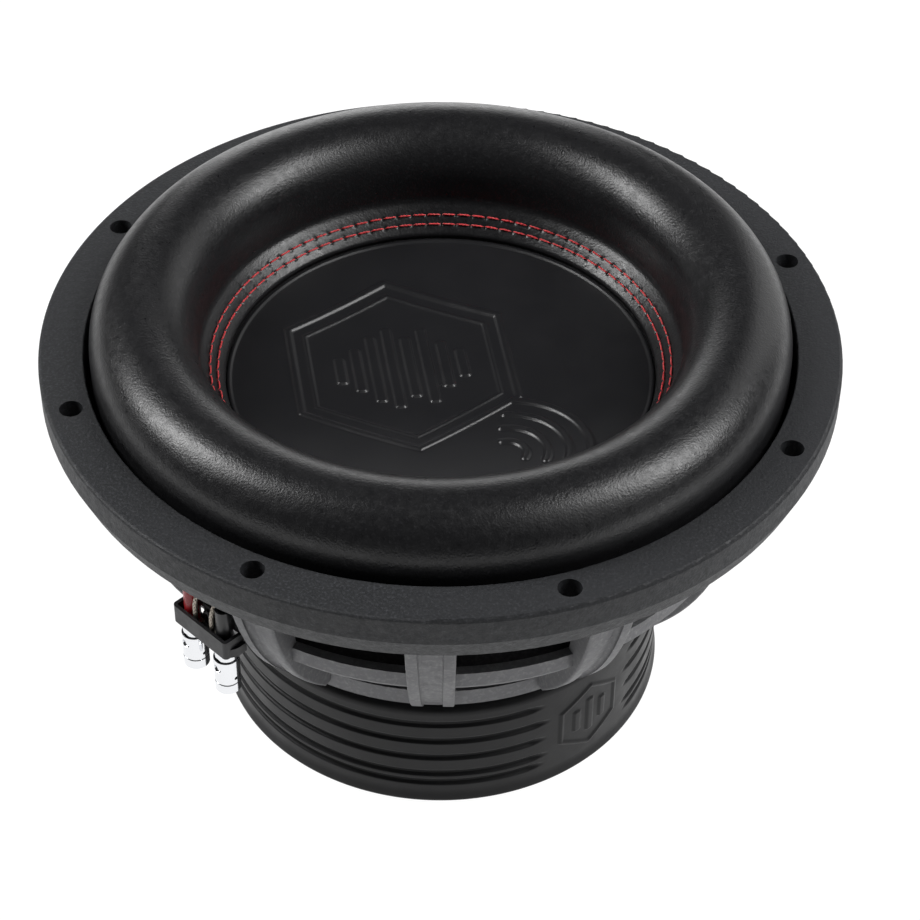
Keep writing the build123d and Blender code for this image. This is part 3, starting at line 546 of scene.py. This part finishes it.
def panel_relief(along, z):
    """Small generic relief: a hexagon with three bars, on each smooth panel."""
    height, edge = 0.7, 0.7
    middle = (BOOT_TOP_Z + BOOT_LOW_Z) / 2
    y = z - middle
    top = ridge(np.abs(polygon_distance(along, y, 15, 6, 0)), 0.8, height, edge)
    for k, level in enumerate((6, 9.5, 6)):
        top = np.maximum(top, ridge(box_distance(along - (k - 1) * 7, y, 1.7, level, 0.8), 0, height, edge))
    return top


def boot_shape(angle, r, z):
    """Grooves with tapered ends, left out on two smooth panels, and the panels' relief."""
    outside = r > BODY_R - 1.2
    cut = np.zeros_like(r)
    raised = np.zeros_like(r)
    for centre in (PANEL_ANGLE, PANEL_ANGLE + math.pi):
        away = (angle - centre + math.pi) % TAU - math.pi
        raised = np.maximum(raised, panel_relief(away * BODY_R, z) * (np.abs(away) < 0.3))
    nearest = np.abs((angle - PANEL_ANGLE + math.pi / 2) % math.pi - math.pi / 2)
    for drop, half in GROOVES:
        open_share = smooth((nearest - math.radians(half)) / GROOVE_TAPER)
        across = np.abs(z - (BOOT_TOP_Z - drop))
        width = GROOVE_HALF * (0.25 + 0.75 * open_share)
        cut = np.maximum(cut, GROOVE_DEPTH * open_share * smooth((width + 0.7 - across) / 0.7))
    return r + np.where(outside, raised - cut, 0.0), z


def build_boot():
    """Rubber boot: one skin over its shoulder, ribbed side, foot and hollow inside."""
    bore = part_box("magnet_front")[1].x / MM + 0.2
    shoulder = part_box("top_plate")[1].x / MM + 0.2
    foot_t, mouth = 4.0, 66.0
    profile = [(shoulder, BOOT_TOP_Z - 1.8), (shoulder, BOOT_TOP_Z - 0.6), (shoulder + 0.6, BOOT_TOP_Z)]
    profile += arc((BODY_R - 4.2, BOOT_TOP_Z - 4.2), 4.2, 90, 0, 9)
    rows = int((BOOT_TOP_Z - 4.4 - BOOT_LOW_Z - 6) / 0.42)
    profile += line((BODY_R, BOOT_TOP_Z - 4.5), (BODY_R, BOOT_LOW_Z + 6), rows)
    profile += [(BODY_R, BOOT_LOW_Z + 5.5), (BODY_R + 0.35, BOOT_LOW_Z + 3.2)]
    profile += [(BOOT_FOOT_R - 0.1, BOOT_LOW_Z + 1.6), (BOOT_FOOT_R, BOOT_LOW_Z + 0.8)]
    profile += [(BOOT_FOOT_R - 0.5, BOOT_LOW_Z), (mouth + 0.6, BOOT_LOW_Z)]
    profile += [(mouth, BOOT_LOW_Z + 0.6), (mouth, BOOT_LOW_Z + foot_t), (shoulder, BOOT_LOW_Z + foot_t)]
    profile += [(bore, BOOT_LOW_Z + 14), (bore, BOOT_TOP_Z - 1.8)]
    piece = lathe("magnet_boot_skin", profile, 960, boot_shape)
    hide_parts("magnet_boot")
    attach(piece, FRAME_BODY)
    piece.data.materials.append(boot_rubber())


# ---- spider, leads, springs --------------------------------------------------------------------
def build_spider():
    """Corrugated cloth disc between the coil former and the landing ledge."""
    low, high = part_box("spider")
    mid = (low.z + high.z) / 2 / MM
    hub_r, rim_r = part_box("voice_coil_former")[1].x / MM, high.x / MM
    inner, outer = hub_r + SPIDER_COLLAR_W, rim_r - SPIDER_RIM_W
    radii = np.linspace(inner, outer, 24 * SPIDER_WAVES + 1)
    wave = mid + SPIDER_WAVE_H * np.sin(TAU * SPIDER_WAVES * (radii - inner) / (outer - inner))
    top = [(r, z + SPIDER_T / 2) for r, z in zip(radii, wave)]
    top = [(hub_r, mid + SPIDER_T / 2)] + top + [(rim_r, mid + SPIDER_T / 2)]
    piece = lathe("spider_disc", top + [(r, z - SPIDER_T) for r, z in reversed(top)], 360)
    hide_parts("spider")
    piece.data.materials.append(cloth("spider_cloth", (0.035, 0.033, 0.036), 0.8))
    blend_radially(piece)


def rounded_path(corners, share=0.45, steps=14):
    """Points along straight runs with each corner eased by a curve."""
    corners = np.asarray(corners, float)
    path = [corners[:1]]
    t = np.linspace(0, 1, steps)[:, None]
    for before, here, after in zip(corners, corners[1:], corners[2:]):
        run = share * min(np.linalg.norm(here - before), np.linalg.norm(after - here))
        a = here + (before - here) / np.linalg.norm(before - here) * run
        b = here + (after - here) / np.linalg.norm(after - here) * run
        path.append((1 - t) ** 2 * a + 2 * t * (1 - t) * here + t ** 2 * b)
    path.append(corners[-1:])
    dense = np.concatenate(path)
    along = np.concatenate([[0], np.cumsum(np.linalg.norm(np.diff(dense, axis=0), axis=1))])
    even = np.linspace(0, along[-1], int(along[-1] / 0.5))
    return np.stack([np.interp(even, along, dense[:, k]) for k in range(3)], -1)


def build_lead(name, side, material):
    """Braided lead: strands wound both ways round the route from its tag to the cone."""
    foot_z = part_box("solder_tags")[1].z / MM
    y = side * LEAD_Y
    route = rounded_path([(x, y, z) for x, z in ((LEAD_FOOT_X, foot_z), *LEAD_BEND)])
    turn = Matrix.Rotation(TERMINAL_ANGLE, 3, "Z")
    route = route @ np.array(turn).T
    along = np.gradient(route, axis=0)
    along /= np.linalg.norm(along, axis=1)[:, None]
    across = np.cross(along, np.array(turn @ Vector((0, 1, 0))))
    across /= np.linalg.norm(across, axis=1)[:, None]
    other = np.cross(along, across)
    parts = []
    for k in range(STRAND_COUNT):
        direction = 1 if k % 2 else -1
        angle = TAU * (k // 2) / (STRAND_COUNT / 2) + direction * np.arange(len(route)) * 0.42
        around = np.cos(angle)[:, None] * across + np.sin(angle)[:, None] * other
        parts.append(tube(route + STRAND_WIND_R * around, STRAND_R, 6))
    piece = mesh_object(name + "_braid", *joined(parts))
    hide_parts(name)
    piece.data.materials.append(material)
    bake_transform(piece)


def build_spring(name, material):
    """Coil spring that fills the spring's box, fixed to the frame."""
    low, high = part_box(name)
    centre = (low + high) / 2 / MM
    radius = (high.x - low.x) / 2 / MM - SPRING_WIRE_R
    t = np.linspace(0, 1, 40 * SPRING_TURNS + 1)
    height = low.z / MM + SPRING_WIRE_R + t * ((high.z - low.z) / MM - 2 * SPRING_WIRE_R)
    angle = TAU * SPRING_TURNS * t
    path = np.stack([centre.x + radius * np.cos(angle), centre.y + radius * np.sin(angle), height], -1)
    piece = mesh_object(name + "_coil", *tube(path, SPRING_WIRE_R, 8))
    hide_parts(name)
    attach(piece, FRAME_BODY)
    piece.data.materials.append(material)
    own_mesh(piece)


# ---- finishes of the CAD pieces ---------------------------------------------------------------
def dress_cad():
    """Gives each CAD piece that stays its finish."""
    black_oxide = metal("black_oxide", (0.05, 0.05, 0.052), 0.42)
    plated = metal("plated_steel", (0.30, 0.30, 0.31), 0.36)
    finishes = {
        "trim_ring": trim_rubber(), "cone": pulp(), "basket": cast_paint(),
        "voice_coil_former": metal("coil_former", (0.72, 0.72, 0.74), 0.32),
        "voice_coil_winding": metal("coil_wire", (0.62, 0.22, 0.09), 0.34, (1, 1, 14)),
        "top_plate": plated, "yoke_and_pole": plated,
        "magnet_front": moulded("ferrite", (0.035, 0.035, 0.038), 0.6, 1.2, 0.05),
        "shorting_ring": metal("copper_ring", (0.74, 0.36, 0.20), 0.3),
        "pole_vent_mesh": black_oxide, "plate_screws": black_oxide, "terminal_block_screw": black_oxide,
        "terminal_block": moulded("terminal_plastic", (0.017, 0.017, 0.019), 0.45, 0.8, 0.04),
        "terminal_posts": chrome(),
        "solder_tags": metal("tinned_brass", (0.70, 0.68, 0.60), 0.3),
        "polarity_ring_red": moulded("red_plastic", (0.45, 0.012, 0.02), 0.28),
        "polarity_ring_black": moulded("black_plastic", (0.012, 0.012, 0.013), 0.3),
    }
    finishes["magnet_rear"] = finishes["magnet_front"]
    finishes["terminal_rivets"] = finishes["terminal_posts"]
    for side in ("left", "right"):
        finishes["terminal_sleeve_" + side] = finishes["terminal_posts"]
    for name, finish in finishes.items():
        mesh = NODES[name].data
        mesh.materials.clear()
        mesh.materials.append(finish)


# ---- stage, light, camera ---------------------------------------------------------------------
def build_stage():
    """White paper: a flat floor, which bright metal reflects, and a sweep that rises all round it."""
    floor_z, floor_r, sweep_r, wall_h = CAD_BOX[0].z / MM - 0.2, 3000, 2000, 6000
    sweep = arc((floor_r, floor_z + sweep_r), sweep_r, -90, 0, 16) + [(floor_r + sweep_r, floor_z + wall_h)]
    surface = Surface("paper", (0.10, 0.10, 0.10), 0.9, Emission_Color=(1, 1, 1, 1), Emission_Strength=0.97)
    surface.uneven(surface.noise(400, 2.0), 0.86, 0.94)
    angle = np.arange(96) * TAU / 96
    for name, profile in (("paper_floor", [(1, floor_z), (floor_r, floor_z)]), ("paper_sweep", sweep)):
        points = [(r * math.cos(a), r * math.sin(a), z) for a in angle for r, z in profile]
        paper = mesh_object(name, points, grid_faces(len(angle), len(profile)))
        paper.data.materials.append(surface.material)
        paper.visible_diffuse = paper.visible_shadow = False
        paper.visible_glossy = name == "paper_floor"


def softbox(name, azimuth, elevation, watts, size=(0.75, 1.1), distance=1.5):
    light = bpy.data.lights.new(name, "AREA")
    light.shape = "RECTANGLE"
    light.size, light.size_y = size
    light.energy = watts
    lamp = bpy.data.objects.new(name, light)
    a, e = math.radians(azimuth), math.radians(elevation)
    lamp.location = distance * Vector((math.cos(a) * math.cos(e), math.sin(a) * math.cos(e), math.sin(e)))
    lamp.rotation_euler = (-lamp.location).to_track_quat("-Z", "Y").to_euler()
    bpy.context.scene.collection.objects.link(lamp)


def build_light():
    """Two soft boxes on the sides, weaker ones behind, at the front right and low down, and a little fill."""
    world = bpy.data.worlds.new("studio")
    bpy.context.scene.world = world
    world.use_nodes = True
    world.node_tree.nodes["Background"].inputs["Color"].default_value = (1, 1, 1, 1)
    world.node_tree.nodes["Background"].inputs["Strength"].default_value = 0.03
    softbox("softbox_right", -3, 46, 15.5, (0.5, 0.9))
    softbox("softbox_left", 170, 42, 16.5, (0.42, 0.85))
    softbox("softbox_back", 95, 2, 5.5)
    softbox("softbox_front_right", -35, 45, 1.6)
    softbox("softbox_low_left", -128, -14, 2.6, (1.1, 0.6))
    softbox("softbox_low_right", -30, -8, 2.4, (0.8, 0.5))
    softbox("softbox_back_right", 45, 20, 2.6)


def build_camera():
    """Camera at the viewing angle, aimed a little below the flange."""
    camera_data = bpy.data.cameras.new("camera")
    camera_data.sensor_width = 36.0
    camera_data.lens = 102.96
    camera = bpy.data.objects.new("camera", camera_data)
    camera.location = (0.0, -0.80923, 0.69899)
    aim = Vector((0.0081, 0.0, -0.0475))
    look = (aim - camera.location).to_track_quat("-Z", "Y")
    roll = Matrix.Rotation(math.radians(0.57), 4, "Z")
    camera.rotation_euler = (look.to_matrix().to_4x4() @ roll).to_euler()
    bpy.context.scene.collection.objects.link(camera)
    bpy.context.scene.camera = camera


bpy.context.scene.view_settings.view_transform = "Standard"
build_camera()
build_stage()
build_light()
build_surround()
red = thread_red()
for row_index, (row, radius) in enumerate(STITCH_ROWS.items()):
    build_stitches(row, radius, 2.1 * row_index, red)
build_cap()
build_boot()
build_spider()
braid = metal("braid", (0.42, 0.38, 0.33), 0.45)
spring_steel = metal("spring_steel", (0.6, 0.6, 0.62), 0.28)
for side_name, side_sign in (("left", -1), ("right", 1)):
    build_lead("tinsel_lead_" + side_name, side_sign, braid)
    build_spring("terminal_spring_" + side_name, spring_steel)
dress_cad()
